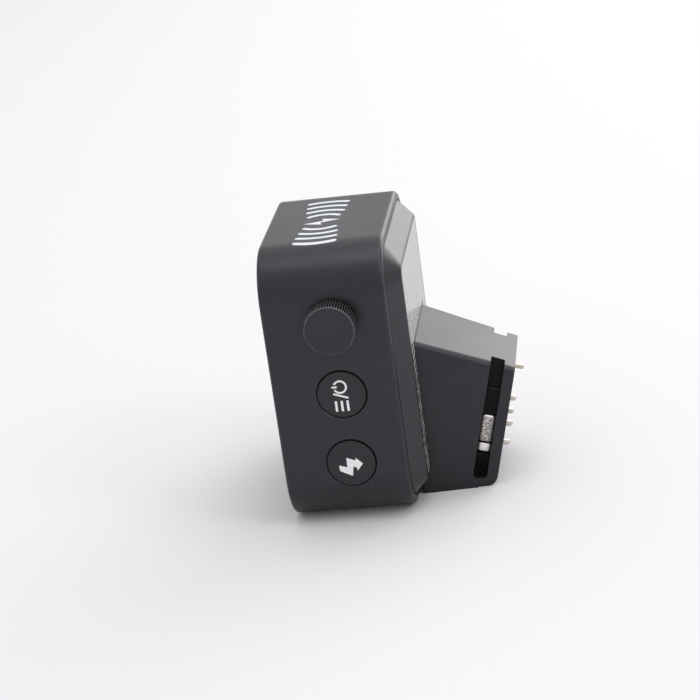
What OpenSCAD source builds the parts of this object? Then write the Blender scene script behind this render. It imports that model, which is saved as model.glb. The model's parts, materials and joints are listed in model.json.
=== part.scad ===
// Wireless flash trigger: a rounded slab body with a touch screen on one broad
// side, a tapered back cover on the other, and a wedge-shaped shoe block that
// carries a standard camera accessory foot tilted to the body.
// Millimetres. +Z runs along the slab's long side, and the slab stands on its
// narrow face at z = 0. +X points from the screen towards the accessory foot.
// -Y is the side with the dial and the two buttons. The origin is the middle of
// the footprint of the bounding box.

/* [Body] */
// Long side of the slab
body_h = 50.4; // [49:0.1:54]
// Width from the control side to the socket side
body_w = 42.6; // [42:0.1:45]
// Corner radius of the slab's outline
corner_r = 9; // [8.5:0.1:9.5]
// Wall thickness of the housing
wall = 1.6; // [1.5:0.05:1.7]
// Depth from the screen side to the end of the housing's rim
seam_x = 22; // [21.8:0.1:22.2]
// Gap left all round between the housing's rim and the back cover inside it
seam_gap = 0.2; // [0.15:0.01:0.3]
// Depth from the screen side to the flat of the back cover
back_x = 24.6; // [24.4:0.1:24.8]
// How far the flat of the back cover stands in from the outline
flat_in = 5.2; // [4.8:0.1:5.4]
// Corner radius of the flat of the back cover
flat_r = 1.8; // [1.5:0.1:2.4]
// Radius on the edge around the screen
front_r = 0.7; // [0.4:0.1:0.9]
// Radius on the housing's rim at the seam
rim_r = 0.8; // [0.5:0.1:0.8]

/* [Screen] */
// Width of the rim around the touch glass
glass_in = 1; // [0.9:0.1:1.2]
// Thickness of the touch glass
glass_t = 1; // [0.8:0.1:1]
// Inset of the window behind the glass
window_in = 2.7; // [2.6:0.1:3]

/* [Controls] */
// Distance of the dial and the buttons from the screen side
ctrl_x = 12.15; // [12:0.05:12.3]
// Height of the dial's axis
dial_z = 38; // [37.8:0.1:38.4]
// Height of the mode button's centre
mode_z = 24.8; // [24.6:0.1:25]
// Height of the test button's centre
test_z = 11.8; // [11.7:0.1:12]
// Outer radius of the knurled dial
dial_r = 4.45; // [4.2:0.05:4.6]
// Height of the dial's face above the control side
dial_h = 4.05; // [3.8:0.05:4.2]
// Number of ribs round the dial
dial_ribs = 60; // [48:6:72]
// Radius of the button holes
hole_r = 4.45; // [4.43:0.01:4.5]
// Radius of the button caps
cap_r = 4.34; // [4.26:0.01:4.36]
// How far the caps' faces lie below the control side
cap_in = 0.3; // [0.2:0.02:0.36]

/* [Accessory foot] */
// Width of the foot plate
foot_w = 18.6; // [18.4:0.05:18.6]
// Thickness of the foot plate
foot_t = 1.95; // [1.85:0.05:2]
// Length of the foot plate
foot_l = 22.75; // [22.6:0.05:22.9]
// Width of the neck between the two side grooves
neck_w = 12.2; // [12:0.1:12.4]
// Height of the side grooves
groove_h = 2.5; // [2.3:0.1:2.6]
// Tilt of the foot plate from the slab's long side, in degrees
foot_tilt = 14.6; // [14:0.2:15]
// Distance of the plate's rear edge from the screen side
foot_x = 35.9; // [35.8:0.1:36.2]
// Height at which the block's front face meets the back cover
block_top = 29.2; // [29:0.1:29.6]
// Radius along the two long edges of the block's front face
block_r = 1.35; // [1:0.05:1.5]
// How far the sides of the block spread for each mm of depth
flare = 0.085; // [0.06:0.005:0.09]
// Radius of the plate's rear edge
rear_r = 2.3; // [2:0.1:2.5]

/* [Contacts] */
// Radius of the five contact pins
pin_r = 0.6; // [0.55:0.01:0.62]
// How far the contact pins stand out of the plate
pin_out = 1.35; // [1.2:0.05:1.5]
// Radius of the lock pin
lock_r = 0.5; // [0.45:0.05:0.55]
// How far the lock pin stands out of the plate
lock_out = 1.75; // [1.6:0.05:1.8]
// Radial clearance of pins and shafts in their bores
play = 0.05; // [0.03:0.01:0.08]

/* [Hidden] */
$fn = 48;

H = body_h;
W = body_w;
R = corner_r;
yc = W / 2;
cover_in = wall + seam_gap; // how far the back cover stands in from the outline at the seam
st = sin(foot_tilt);
ct = cos(foot_tilt);
// outer front edge of the foot plate, and the slope of the block's front face
p2x = foot_x + foot_l * st;
p2z = foot_l * ct;
fslope = atan((block_top - p2z) / (p2x - back_x));
tipx = p2x - 2.75 * st + lock_out * ct; // middle of the lock pin's end, its furthest reach
ox = -(tipx + (lock_r - 0.15) * st) / 2;
oy = -(W - dial_h) / 2;
groove_n = foot_t + groove_h;
room_z = (block_top - 1.8 - (foot_x - 6.1 / ct - back_x) * tan(fslope)) / (1 + st / ct * tan(fslope)); // top of the room inside the block, at the plate's side
// lateral place and distance from the plate's rear edge of each contact
C_S = 13.7;
A_S = 9.9;
A_Y = 2.95;
B_S = 6.75;
B_Y = 4.4;
LOCK_S = foot_l - 2.75;
carrier_half = 5.4;
carrier_lo = 4.7;
carrier_hi = 15.5;
SCREW_IN = 8.4;
// heights of the mid frame's screws
FRAME_Z = [11.2, H - 15.5];

// ---------- shared shapes ----------

// outline of the slab, inset by i, drawn as Y to the right and Z up, with corner radius q where given
module outline(i, q = -1) {
  r = q < 0 ? R - i : q;
  translate([i, i]) {
    translate([r, 0]) square([W - 2 * i - 2 * r, H - 2 * i]);
    translate([0, r]) square([W - 2 * i, H - 2 * i - 2 * r]);
    for (a = [r, W - 2 * i - r], b = [r, H - 2 * i - r]) translate([a, b]) circle(r);
  }
}
// a flat shape drawn in Y-Z, made solid from x = a to x = b
module xrun(a, b) translate([a, 0, 0]) rotate([90, 0, 90]) linear_extrude(b - a) children();
// a flat shape drawn in X-Z, made solid from y = a to y = b
module yrun(a, b) translate([0, b, 0]) rotate([90, 0, 0]) linear_extrude(b - a) children();
// slab whose outline stands in by pr[i][1] at x = pr[i][0]
module profiled(pr) {
  n = len(pr);
  translate([0, 0, R]) linear_extrude(H - 2 * R)
    polygon(concat([for (p = pr) [p[0], p[1]]], [for (i = [n - 1:-1:0]) [pr[i][0], W - pr[i][1]]]));
  yrun(R, W - R)
    polygon(concat([for (p = pr) [p[0], p[1]]], [for (i = [n - 1:-1:0]) [pr[i][0], H - pr[i][1]]]));
  for (a = [R, W - R], b = [R, H - R]) translate([0, a, b]) rotate([0, 90, 0]) rotate_extrude($fn = 64)
    polygon(concat([[0, pr[0][0]]], [for (p = pr) [R - p[1], p[0]]], [[0, pr[n - 1][0]]]));
}
// points of the outline inset by i with corner radius r, at depth x
function ring(x, i, r) = [for (c = [[W - i - r, H - i - r, 0], [i + r, H - i - r, 90], [i + r, i + r, 180], [W - i - r, i + r, 270]], k = [0:12])
    [x, c[0] + r * cos(c[2] + 7.5 * k), c[1] + r * sin(c[2] + 7.5 * k)]];
// solid through a stack of such rings
module lofted(rings) {
  n = len(rings);
  m = len(rings[0]);
  polyhedron([for (r = rings) each r], concat([[for (k = [0:m - 1]) k], [for (k = [m - 1:-1:0]) (n - 1) * m + k]],
      [for (j = [0:n - 2], k = [0:m - 1]) let (l = (k + 1) % m) [j * m + l, j * m + k, (j + 1) * m + k, (j + 1) * m + l]]));
}
// round bar along Y
module ybar(x, z, r, a, b, f = 48) translate([x, a, z]) rotate([-90, 0, 0]) cylinder(r = r, h = b - a, $fn = f);
// round bar along X
module xbar(y, z, r, a, b, f = 32) translate([a, y, z]) rotate([0, 90, 0]) cylinder(r = r, h = b - a, $fn = f);
// frame of the foot: x outwards from the plate, z from its rear edge to its front edge
module foot() translate([foot_x, 0, 0]) rotate([0, foot_tilt, 0]) children();
// round bar along the foot's outward direction
module nbar(s, y, r, a, b, f = 32) translate([a, y, s]) rotate([0, 90, 0]) cylinder(r = r, h = b - a, $fn = f);
// turned shape about Y: points are [radius, y]
module yturn(x, z, f = 64) translate([x, 0, z]) rotate([-90, 0, 0]) rotate_extrude($fn = f) children();
// arc of a quarter circle from [x0, r] to [x0 + r, 0], used for edge radii
function q_in(r, n) = [for (i = [0:n]) [r * (1 - cos(90 * i / n)), r * (1 - sin(90 * i / n))]];
function q_out(x, r, n) = [for (i = [0:n]) [x - r * (1 - sin(90 * i / n)), r * (1 - cos(90 * i / n))]];

// closed coil spring along the local x axis from a to b, on centreline radius c, wire radius w
module coil(a, b, c, w, turns) {
  seg = 10;
  n = turns * seg;
  k = 4;
  ln = b - a - 2 * w;
  pts = [for (i = [0:n], j = [0:k - 1]) let (t = 360 * i / seg, u = 360 * j / k + 45)
      [a + w + ln * i / n + w * sin(u), (c + w * cos(u)) * cos(t), (c + w * cos(u)) * sin(t)]];
  sides = [for (i = [0:n - 1], j = [0:k - 1]) let (m = (j + 1) % k)
      each [[i * k + j, i * k + m, (i + 1) * k + m], [i * k + j, (i + 1) * k + m, (i + 1) * k + j]]];
  ends = [[for (j = [k - 1:-1:0]) j], [for (j = [0:k - 1]) n * k + j]];
  polyhedron(concat(pts), concat(sides, ends));
}

// ---------- housing and cover ----------

module main_housing() color([0.2, 0.2, 0.21]) difference() {
  union() {
    difference() {
      profiled(concat(q_in(front_r, 4), q_out(seam_x, rim_r, 4)));
      xrun(glass_t + 0.15 + 1.5, seam_x + 1) outline(wall);
    }
    // screw bosses with two ribs each
    for (a = [0, 1], b = [0, 1]) {
      y = a == 0 ? SCREW_IN : W - SCREW_IN;
      z = b == 0 ? SCREW_IN : H - SCREW_IN;
      xbar(y, z, 2.2, 17.6, 20);
      translate([17.6, a == 0 ? wall - 0.2 : y + 1.5, z - 0.5]) cube([2.4, SCREW_IN - wall - 1.3, 1]);
      translate([17.6, y - 0.5, b == 0 ? wall - 0.2 : z + 1.5]) cube([2.4, 1, SCREW_IN - wall - 1.3]);
    }
    // guide ribs beside each button flange
    for (z = [mode_z, test_z], d = [-1, 1]) translate([ctrl_x + d * 5.2 - 0.3, wall - 0.1, z - 1.8]) cube([0.6, 1.4, 3.6]);
  }
  xrun(-1, glass_t + 0.15) outline(glass_in);
  xrun(-1, 4) outline(window_in);
  // button holes and the dial's hub hole
  for (z = [mode_z, test_z]) {
    ybar(ctrl_x, z, hole_r, -1, wall + 0.5, 64);
    // broken edge at the mouth, and room for the flange behind the wall
    yturn(ctrl_x, z) polygon([[0, -0.3], [hole_r + 0.45, -0.3], [hole_r, 0.15], [0, 0.15]]);
    intersection() {
      ybar(ctrl_x, z, 5.13, wall + 0.08, 4, 64);
      translate([ctrl_x - 4.87, 0, z - 6]) cube([9.74, 5, 12]);
    }
  }
  ybar(ctrl_x, dial_z, 2.25, -1, wall + 1);
  // USB-C slot and sync jack hole
  yrun(W - 3, W + 1) for (z = [15.2, 20.8]) translate([7.03, z]) circle(1.78, $fn = 32);
  translate([7.03 - 1.78, W - 3, 15.2]) cube([3.56, 4, 5.6]);
  ybar(8, 30, 2.3, W - 3, W + 1);
  // screw holes
  for (y = [SCREW_IN, W - SCREW_IN], z = [SCREW_IN, H - SCREW_IN]) xbar(y, z, 0.8, 17, 21);
}

module back_cover() color([0.19, 0.19, 0.2]) difference() {
  union() {
    difference() {
      lofted([ring(20.1, cover_in, R - cover_in), ring(seam_x, cover_in, R - cover_in), ring(back_x - 0.12, flat_in - 0.2, flat_r + 0.2), ring(back_x, flat_in, flat_r)]);
      xrun(19, seam_x + 0.05) outline(3.1);
      xrun(19, 23.1) outline(5.2);
    }
    for (y = [SCREW_IN, W - SCREW_IN], z = [SCREW_IN, H - SCREW_IN]) xbar(y, z, 2.2, 20.05, 23.6);
  }
  // pocket for the label plate
  difference() {
    xrun(back_x - 0.3, back_x + 1) outline(flat_in + 0.5, flat_r - 0.3);
    xrun(back_x - 1, back_x + 2) translate([yc - 11.1, -1]) square([22.2, block_top + 1.4]);
  }
  for (y = [SCREW_IN, W - SCREW_IN], z = [SCREW_IN, H - SCREW_IN]) {
    xbar(y, z, 0.9, 19, 26);
    xbar(y, z, 1.65, 23.35, 26);
  }
  for (y = [yc - 7.2, yc + 7.2], z = [9.5, 24]) xbar(y, z, 0.9, 22, 26);
  translate([22, yc - 5, 11]) cube([4, 10, 8]);
}

module touch_glass() color([0.05, 0.05, 0.06]) xrun(0.02, glass_t) outline(glass_in + 0.1);
module glass_adhesive() color([0.1, 0.1, 0.1]) difference() {
  xrun(glass_t, glass_t + 0.15) outline(glass_in + 0.2);
  xrun(0, 3) outline(window_in - 0.1);
}
module lcd_panel() color([0.15, 0.16, 0.2]) difference() {
  union() {
    xrun(1.2, 1.9) outline(window_in + 0.2);
    xrun(1.9, 3.2) outline(window_in + 0.5);
  }
  // step for the driver strip
  translate([1.1, 0, 0]) cube([0.4, W, 6.2]);
}
module mid_frame() color([0.55, 0.56, 0.58]) difference() {
  union() {
    xrun(3.3, 4.2) outline(1.8);
    // rim that sits on the ledge round the window
    difference() {
      xrun(2.67, 3.4) outline(1.8);
      xrun(2, 3.3) outline(3);
    }
    // stand-offs for the main board
    for (y = [4.1, W - 4.1], z = FRAME_Z) xbar(y, z, 1.5, 4, 4.5);
  }
  translate([3, 10, 13]) cube([2, W - 20, H - 27]);
  translate([3, 12, 5]) cube([2, 8, 4]);
  translate([3, 23, 5]) cube([2, 8, 4]);
  for (y = [4.1, W - 4.1], z = FRAME_Z) xbar(y, z, 0.55, 3, 5);
}
module frame_screws() color("silver") for (y = [4.1, W - 4.1], z = FRAME_Z) difference() {
  union() {
    xbar(y, z, 0.5, 3.35, 5.35);
    xbar(y, z, 1.05, 5.32, 5.9);
  }
  // cross recess
  translate([5.55, y - 0.6, z - 0.12]) cube([1, 1.2, 0.24]);
  translate([5.55, y - 0.12, z - 0.6]) cube([1, 0.24, 1.2]);
}
module main_pcb() color([0.05, 0.25, 0.15]) difference() {
  xrun(4.5, 5.3) outline(2.3);
  for (y = [4.1, W - 4.1], z = FRAME_Z) xbar(y, z, 0.6, 4, 6);
  // peg holes of the USB-C socket
  for (z = [15, 21]) xbar(36.5, z, 0.4, 4, 6);
}
module side_pcb() color([0.05, 0.25, 0.15]) difference() {
  translate([5.32, 7.6, 5.5]) cube([11.88, 0.8, 38.5]);
  for (z = [18.3, 31.4]) ybar(ctrl_x, z, 0.9, 7, 9, 32);
}
module display_flex() color([0.75, 0.5, 0.15]) {
  translate([3.2, 17, 15]) cube([0.12, 8, 9]);
  translate([3.2, 17, 14.88]) cube([1.3, 8, 0.12]);
}
module battery() color([0.7, 0.71, 0.73]) {
  // pouch with a folded top seal and two tabs
  translate([6.4, 10.6, 9]) cube([8, 19.2, 31]);
  translate([8.4, 11.4, 40]) cube([4, 17.6, 1.4]);
  translate([10.2, 14, 41.4]) cube([0.3, 2.4, 1.2]);
  translate([10.2, 22, 41.4]) cube([0.3, 2.4, 1.2]);
}
module rf_module() color([0.72, 0.73, 0.75]) {
  translate([5.3, 23, 42.6]) cube([0.6, 13, 4.6]);
  translate([5.9, 23.5, 42.8]) cube([1.5, 9, 4.2]);
  translate([5.9, 33.4, 43.2]) cube([0.6, 1.4, 3]);
}
module antenna() color([0.8, 0.6, 0.25]) {
  translate([8, 13, H - 2.1]) cube([9, 16, 0.25]);
  translate([7.7, 24, H - 5]) cube([0.3, 1.2, 3.15]);
}
module buzzer() color([0.08, 0.08, 0.08]) difference() {
  xbar(33.65, 9.4, 3.7, 5.3, 7.6, 48);
  xbar(33.65, 9.4, 0.7, 6.9, 8);
}

module label_plate() color([0.75, 0.75, 0.76]) difference() {
  xrun(back_x - 0.3, back_x - 0.05) outline(flat_in + 0.55, flat_r - 0.3);
  xrun(back_x - 1, back_x + 2) translate([yc - 11.25, -1]) square([22.5, block_top + 1.55]);
}
module case_screws() color([0.5, 0.5, 0.52]) for (y = [SCREW_IN, W - SCREW_IN], z = [SCREW_IN, H - SCREW_IN]) difference() {
  union() {
    xbar(y, z, 0.77, 18.2, 23.4);
    xbar(y, z, 1.5, 23.37, 24.2);
  }
  translate([23.8, y - 0.9, z - 0.15]) cube([1, 1.8, 0.3]);
  translate([23.8, y - 0.15, z - 0.9]) cube([1, 0.3, 1.8]);
}
module shoe_screws() color([0.5, 0.5, 0.52]) for (y = [yc - 7.2, yc + 7.2], z = [9.5, 24]) difference() {
  union() {
    xbar(y, z, 0.77, 23, 28);
    xbar(y, z, 1.45, 22.3, 23.08);
  }
  translate([21.7, y - 0.8, z - 0.15]) cube([1, 1.6, 0.3]);
  translate([21.7, y - 0.15, z - 0.8]) cube([1, 0.3, 1.6]);
}

// ---------- shoe block ----------

// side view of the block: flat front face, tilted plate, rounded rear edge,
// flat underside level with the slab's resting face
module block_side() {
  cx = foot_x + rear_r * (st - 1) / ct;
  low_x = back_x - 1.7;
  low_z = flat_in - 0.2 - (flat_in - 0.2 - cover_in) * 1.58 / (back_x - 0.12 - seam_x);
  polygon([[back_x, block_top], [p2x, p2z], [cx + rear_r * ct, rear_r - rear_r * st], [cx, 0], [low_x, 0], [low_x, low_z], [back_x - 0.12, flat_in - 0.2], [back_x, flat_in]]);
  translate([cx, rear_r]) circle(rear_r, $fn = 64);
}
// half width of the block at depth d inside the plate's outer face
function half(d) = foot_w / 2 + flare * d;
// solid outside the block's side at sg = -1 (near) or 1 (far), used as a cutter
module side_cut(sg) foot() translate([0, 0, -15]) linear_extrude(60)
  polygon([for (p = [[1, foot_w / 2], [-groove_n + groove_h / 2, foot_w / 2], [-groove_n + groove_h / 2, half(groove_n)], [-groove_n, half(groove_n)], [-24, half(24)], [-24, 16], [1, 16]]) [p[0], yc + sg * p[1]]]);
// point on the edge between the front face and a side, at depth d
function edge_pt(d, sg) =
  // walk from the plate's front edge back along the front face
  let (t = d / (cos(fslope) * ct + sin(fslope) * st))
  [p2x - t * cos(fslope), yc + sg * half(d), p2z + t * sin(fslope)];
function unit(v) = v / norm(v);
// cutter that rounds that edge with radius block_r, along the plate's straight side when flat is true
module edge_round(sg, d0, d1, flat) {
  e0 = edge_pt(d0, sg);
  e1 = edge_pt(d1, sg);
  a = flat ? [e0[0], yc + sg * (foot_w / 2 - 0.03), e0[2]] : e0;
  b = flat ? [e1[0], yc + sg * (foot_w / 2 - 0.03), e1[2]] : e1;
  z = unit(b - a);
  x = [-sin(fslope), 0, -cos(fslope)]; // into the block from the front face
  y = unit(cross(z, x)) * (cross(z, x)[1] * sg < 0 ? 1 : -1); // into the block from the side
  x2 = unit(x - (x * z) * z);
  hand = cross(x2, y) * z > 0;
  // right-handed frame: swap the two inward axes where needed
  u = hand ? x2 : y;
  v = hand ? y : x2;
  multmatrix([[u[0], v[0], z[0], a[0]], [u[1], v[1], z[1], a[1]], [u[2], v[2], z[2], a[2]], [0, 0, 0, 1]])
    linear_extrude(norm(b - a)) difference() {
      translate([-1, -1]) square([block_r + 1, block_r + 1]);
      translate([block_r, block_r]) circle(block_r, $fn = 64);
    }
}
// side groove cut, with a rounded closed end towards the rear
module groove(sg) foot() {
  y0 = sg < 0 ? yc - 14 : yc + neck_w / 2;
  translate([0, y0 + 14 - neck_w / 2, 0]) rotate([90, 0, 0]) linear_extrude(14 - neck_w / 2) {
    translate([-groove_n, 1.8]) square([groove_h, 30]);
    translate([-groove_n + 0.8, 1]) square([groove_h - 1.6, 2]);
    for (x = [-groove_n + 0.8, -foot_t - 0.8]) translate([x, 1.8]) circle(0.8, $fn = 32);
  }
}
module shoe_block() color([0.19, 0.19, 0.2]) difference() {
  yrun(yc - 11.2, yc + 11.2) block_side();
  for (sg = [-1, 1]) {
    side_cut(sg);
    groove(sg);
    edge_round(sg, foot_t + 0.9, 24, false);
    edge_round(sg, -1, foot_t + 0.9, true);
  }
  // room inside, open towards the back cover
  yrun(yc - 7.9, yc + 7.9) polygon([[back_x - 0.1, block_top - 1.8 + 0.1 * tan(fslope)], [back_x - 0.1, 6.9], [back_x + 1.5, 6.9], [back_x + 1.5, 1.8],
      [foot_x + (1.8 * st - 6.1) / ct, 1.8], [foot_x + (room_z * st - 6.1) / ct, room_z]]);
  // window for the pin carrier
  foot() translate([-7, yc - carrier_half - 0.05, carrier_lo - 0.05]) cube([8, 2 * carrier_half + 0.1, carrier_hi - carrier_lo + 0.1]);
  // lock pin bore and spring chamber
  foot() nbar(LOCK_S, yc, lock_r + play, -3, 1);
  foot() nbar(LOCK_S, yc, 0.95, -8, -1.2);
  // shallow pocket in each side of the neck for the ground springs, and a moulded recess beyond it
  foot() for (sg = [-1, 1]) {
    translate([-groove_n + 0.1, yc + sg * (neck_w / 2 - 0.225) - 0.225, 4.6]) cube([groove_h - 0.2, 0.45, 7.6]);
    translate([-groove_n + 0.25, yc + sg * (neck_w / 2 - 0.2) - 0.2, 17.2]) cube([groove_h - 0.5, 0.5, 1.5]);
  }
  // screw holes from the cover side
  for (y = [yc - 7.2, yc + 7.2], z = [9.5, 24]) xbar(y, z, 0.8, 24, 29);
}
module shoe_block_bosses() for (y = [yc - 7.2, yc + 7.2], z = [9.5, 24]) difference() {
  intersection() {
    xbar(y, z, 1.9, back_x, 29);
    yrun(yc - 8.2, yc + 8.2) block_side();
  }
  xbar(y, z, 0.8, 24, 30);
}
module pin_carrier() color([0.12, 0.12, 0.12]) difference() {
  foot() union() {
    translate([-6.2, yc - carrier_half, carrier_lo]) cube([6.18, 2 * carrier_half, carrier_hi - carrier_lo]);
    translate([-7.2, yc - 6.6, carrier_lo - 1]) cube([1, 13.2, carrier_hi - carrier_lo + 2]);
  }
  foot() for (p = contacts()) {
    nbar(p[0], p[1], pin_r + play, -2, 1);
    nbar(p[0], p[1], 0.85, -8, -1.05);
  }
}
function contacts() = [[C_S, yc], [A_S, yc - A_Y], [A_S, yc + A_Y], [B_S, yc - B_Y], [B_S, yc + B_Y]];
module contact_pcb() color([0.05, 0.25, 0.15]) foot() translate([-8, yc - 6.6, carrier_lo - 1]) cube([0.8, 13.2, carrier_hi - carrier_lo + 2]);
module shoe_flex() color([0.75, 0.5, 0.15]) {
  // ribbon from the contact board through the cover, along the battery and down to the main board
  translate([16.2, 17, 14]) cube([14.95, 4.8, 0.14]);
  translate([16.2, 17, 14.1]) cube([0.14, 4.8, 27.95]);
  translate([5.3, 17, 42]) cube([11.04, 4.8, 0.14]);
}
// contact pin with a domed tip, a shoulder and a stem inside its spring
module contact(p) color([0.85, 0.75, 0.5]) foot() translate([0, p[1], p[0]]) rotate([0, 90, 0]) rotate_extrude($fn = 32)
  polygon(concat([[0, -3.6], [0.4, -3.6], [0.4, -1.75], [0.8, -1.75], [0.8, -1.1], [pin_r, -1.1]],
      [for (i = [0:6]) [pin_r * cos(15 * i), pin_out - pin_r + pin_r * sin(15 * i)]]));
module contact_spring(p) color("silver") foot() translate([0, p[1], p[0]]) coil(-7.15, -1.8, 0.64, 0.12, 6);
module lock_pin() color([0.85, 0.78, 0.6]) foot() translate([0, yc, LOCK_S]) rotate([0, 90, 0]) rotate_extrude($fn = 32)
  polygon([[0, -3.6], [0.4, -3.6], [0.4, -1.95], [0.9, -1.95], [0.9, -1.25], [lock_r, -1.25], [lock_r, lock_out - 0.15], [lock_r - 0.15, lock_out], [0, lock_out]]);
module lock_pin_spring() color("silver") foot() translate([0, yc, LOCK_S]) coil(-6.1, -2, 0.7, 0.13, 5);
module lock_pin_retainer() color("silver") foot() translate([-6.7, yc - 3, LOCK_S - 2.2]) cube([0.55, 6, 3.5]);
// bent strip that earths the foot in the side groove
module ground_spring(sg) color([0.8, 0.79, 0.76]) foot() {
  out = [[4.85, -0.02], [5.25, 0.26], [5.8, 0.34], [6.35, 0.26], [6.7, 0.02], [6.95, 0.02], [7.25, 0.28], [7.8, 0.3], [11.4, 0.3], [11.8, 0.24], [12, 0]];
  pts = concat([for (p = out) [p[0], p[1]]], [for (i = [len(out) - 1:-1:0]) [out[i][0], out[i][1] - 0.18]]);
  translate([-groove_n + 0.15, 0, 0]) rotate([0, 90, 0]) linear_extrude(groove_h - 0.3)
    polygon([for (p = pts) [-p[0], yc + sg * (neck_w / 2 + p[1])]]);
}

// ---------- controls ----------

module dial_knob() color([0.17, 0.17, 0.18]) difference() {
  union() {
    // knurled skirt
    yrun(-dial_h + 0.28, -0.4) translate([ctrl_x, dial_z]) polygon([for (i = [0:2 * dial_ribs - 1])
        let (a = 180 * i / dial_ribs, r = i % 2 == 0 ? dial_r : dial_r - 0.2) [r * cos(a), r * sin(a)]]);
    // smooth rim and flat face
    yturn(ctrl_x, dial_z, 72) polygon([[0, -dial_h], [dial_r - 0.2, -dial_h], [dial_r - 0.05, -dial_h + 0.14], [dial_r - 0.05, -dial_h + 0.28], [0, -dial_h + 0.28]]);
    ybar(ctrl_x, dial_z, 2.1, -1, 1.9);
  }
  // hollow underside round the hub
  yturn(ctrl_x, dial_z) polygon([[2.1, -2.7], [3.6, -2.7], [3.6, 0], [2.1, 0]]);
  ybar(ctrl_x, dial_z, 1.02, -3.3, 3);
}
module encoder_shaft() color("silver") difference() {
  ybar(ctrl_x, dial_z, 1, -3.28, 6, 32);
  translate([ctrl_x + 0.62, -3.5, dial_z - 2]) cube([2, 4, 4]);
}
module encoder_plunger() color([0.9, 0.9, 0.88]) ybar(ctrl_x, dial_z, 1.4, 6.05, 6.85, 32);
module encoder_body() color([0.25, 0.25, 0.27]) difference() {
  union() {
    translate([ctrl_x - 4.1, 3.6, dial_z - 4.1]) cube([8.2, 4, 8.2]);
    ybar(ctrl_x, dial_z, 2, 2.4, 3.7);
  }
  ybar(ctrl_x, dial_z, 1 + play, 2, 6);
  ybar(ctrl_x, dial_z, 1.4 + play, 5.8, 8);
}
// cap with a rounded edge, a flange with two flats behind the wall, and a stem
module button(z) color([0.16, 0.16, 0.17]) {
  yturn(ctrl_x, z) polygon(concat([[0, cap_in]], [for (i = [0:6]) [cap_r - 0.6 + 0.6 * sin(15 * i), cap_in + 0.6 * (1 - cos(15 * i))]], [[cap_r, 2], [0, 2]]));
  intersection() {
    ybar(ctrl_x, z, 5, 1.75, 2.4, 64);
    translate([ctrl_x - 4.8, 0, z - 6]) cube([9.6, 5, 12]);
  }
  ybar(ctrl_x, z, 1.2, 2.2, 4.9, 32);
}
module actuator(z) color([0.85, 0.82, 0.75]) {
  ybar(ctrl_x, z, 0.85, 4.95, 6.7, 32);
  ybar(ctrl_x, z, 1.3, 6.1, 6.7, 32);
}
module tact(z) color([0.65, 0.65, 0.67]) difference() {
  translate([ctrl_x - 2.6, 5.7, z - 2.6]) cube([5.2, 1.9, 5.2]);
  ybar(ctrl_x, z, 0.95, 5, 6.5, 32);
  ybar(ctrl_x, z, 1.4, 6.05, 7.3, 32);
}
module mode_button() button(mode_z);
module test_button() button(test_z);
module mode_actuator() actuator(mode_z);
module test_actuator() actuator(test_z);
module mode_switch() tact(mode_z);
module test_switch() tact(test_z);

// ---------- sockets on the far side ----------

module usb_c_socket() color("silver") difference() {
  union() {
    yrun(35.3, W - 0.08) for (z = [15.16, 20.84]) translate([7.03, z]) circle(1.63, $fn = 32);
    translate([7.03 - 1.63, 35.3, 15.16]) cube([3.26, W - 35.38, 5.68]);
  }
  yrun(36.4, W + 1) for (z = [15.11, 20.89]) translate([7.03, z]) circle(1.28, $fn = 32);
  translate([7.03 - 1.28, 36.4, 15.11]) cube([2.56, W, 5.78]);
}
module usb_c_tongue() color([0.1, 0.1, 0.1]) translate([7.03 - 0.35, 36.4, 18 - 3.35]) cube([0.7, 5.2, 6.7]);
module sync_jack() color([0.1, 0.1, 0.1]) difference() {
  union() {
    translate([5.4, 30.4, 27.4]) cube([5.2, W - wall - 30.4 - 0.05, 5.2]);
    ybar(8, 30, 2.2, W - wall - 0.2, W - 0.1);
  }
  ybar(8, 30, 1.28, 31.2, W + 1, 48);
}

module placed() translate([ox, oy, 0]) children();
module shoe_block_full() color([0.19, 0.19, 0.2]) union() { shoe_block(); shoe_block_bosses(); }

placed() main_housing();
placed() back_cover();
placed() touch_glass();
placed() glass_adhesive();
placed() lcd_panel();
placed() mid_frame();
placed() frame_screws();
placed() main_pcb();
placed() side_pcb();
placed() display_flex();
placed() battery();
placed() rf_module();
placed() antenna();
placed() buzzer();
placed() label_plate();
placed() case_screws();
placed() shoe_screws();
placed() shoe_block_full();  // shoe_block
placed() pin_carrier();
placed() contact_pcb();
placed() shoe_flex();
placed() contact(contacts()[0]);  // centre_contact
placed() contact(contacts()[1]);  // contact_a_near
placed() contact(contacts()[2]);  // contact_a_far
placed() contact(contacts()[3]);  // contact_b_near
placed() contact(contacts()[4]);  // contact_b_far
placed() contact_spring(contacts()[0]);  // centre_spring
placed() contact_spring(contacts()[1]);  // spring_a_near
placed() contact_spring(contacts()[2]);  // spring_a_far
placed() contact_spring(contacts()[3]);  // spring_b_near
placed() contact_spring(contacts()[4]);  // spring_b_far
placed() lock_pin();
placed() lock_pin_spring();
placed() lock_pin_retainer();
placed() ground_spring(-1);  // ground_spring_near
placed() ground_spring(1);  // ground_spring_far
placed() dial_knob();
placed() encoder_shaft();
placed() encoder_plunger();
placed() encoder_body();
placed() mode_button();
placed() mode_actuator();
placed() mode_switch();
placed() test_button();
placed() test_actuator();
placed() test_switch();
placed() usb_c_socket();
placed() usb_c_tongue();
placed() sync_jack();
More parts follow.
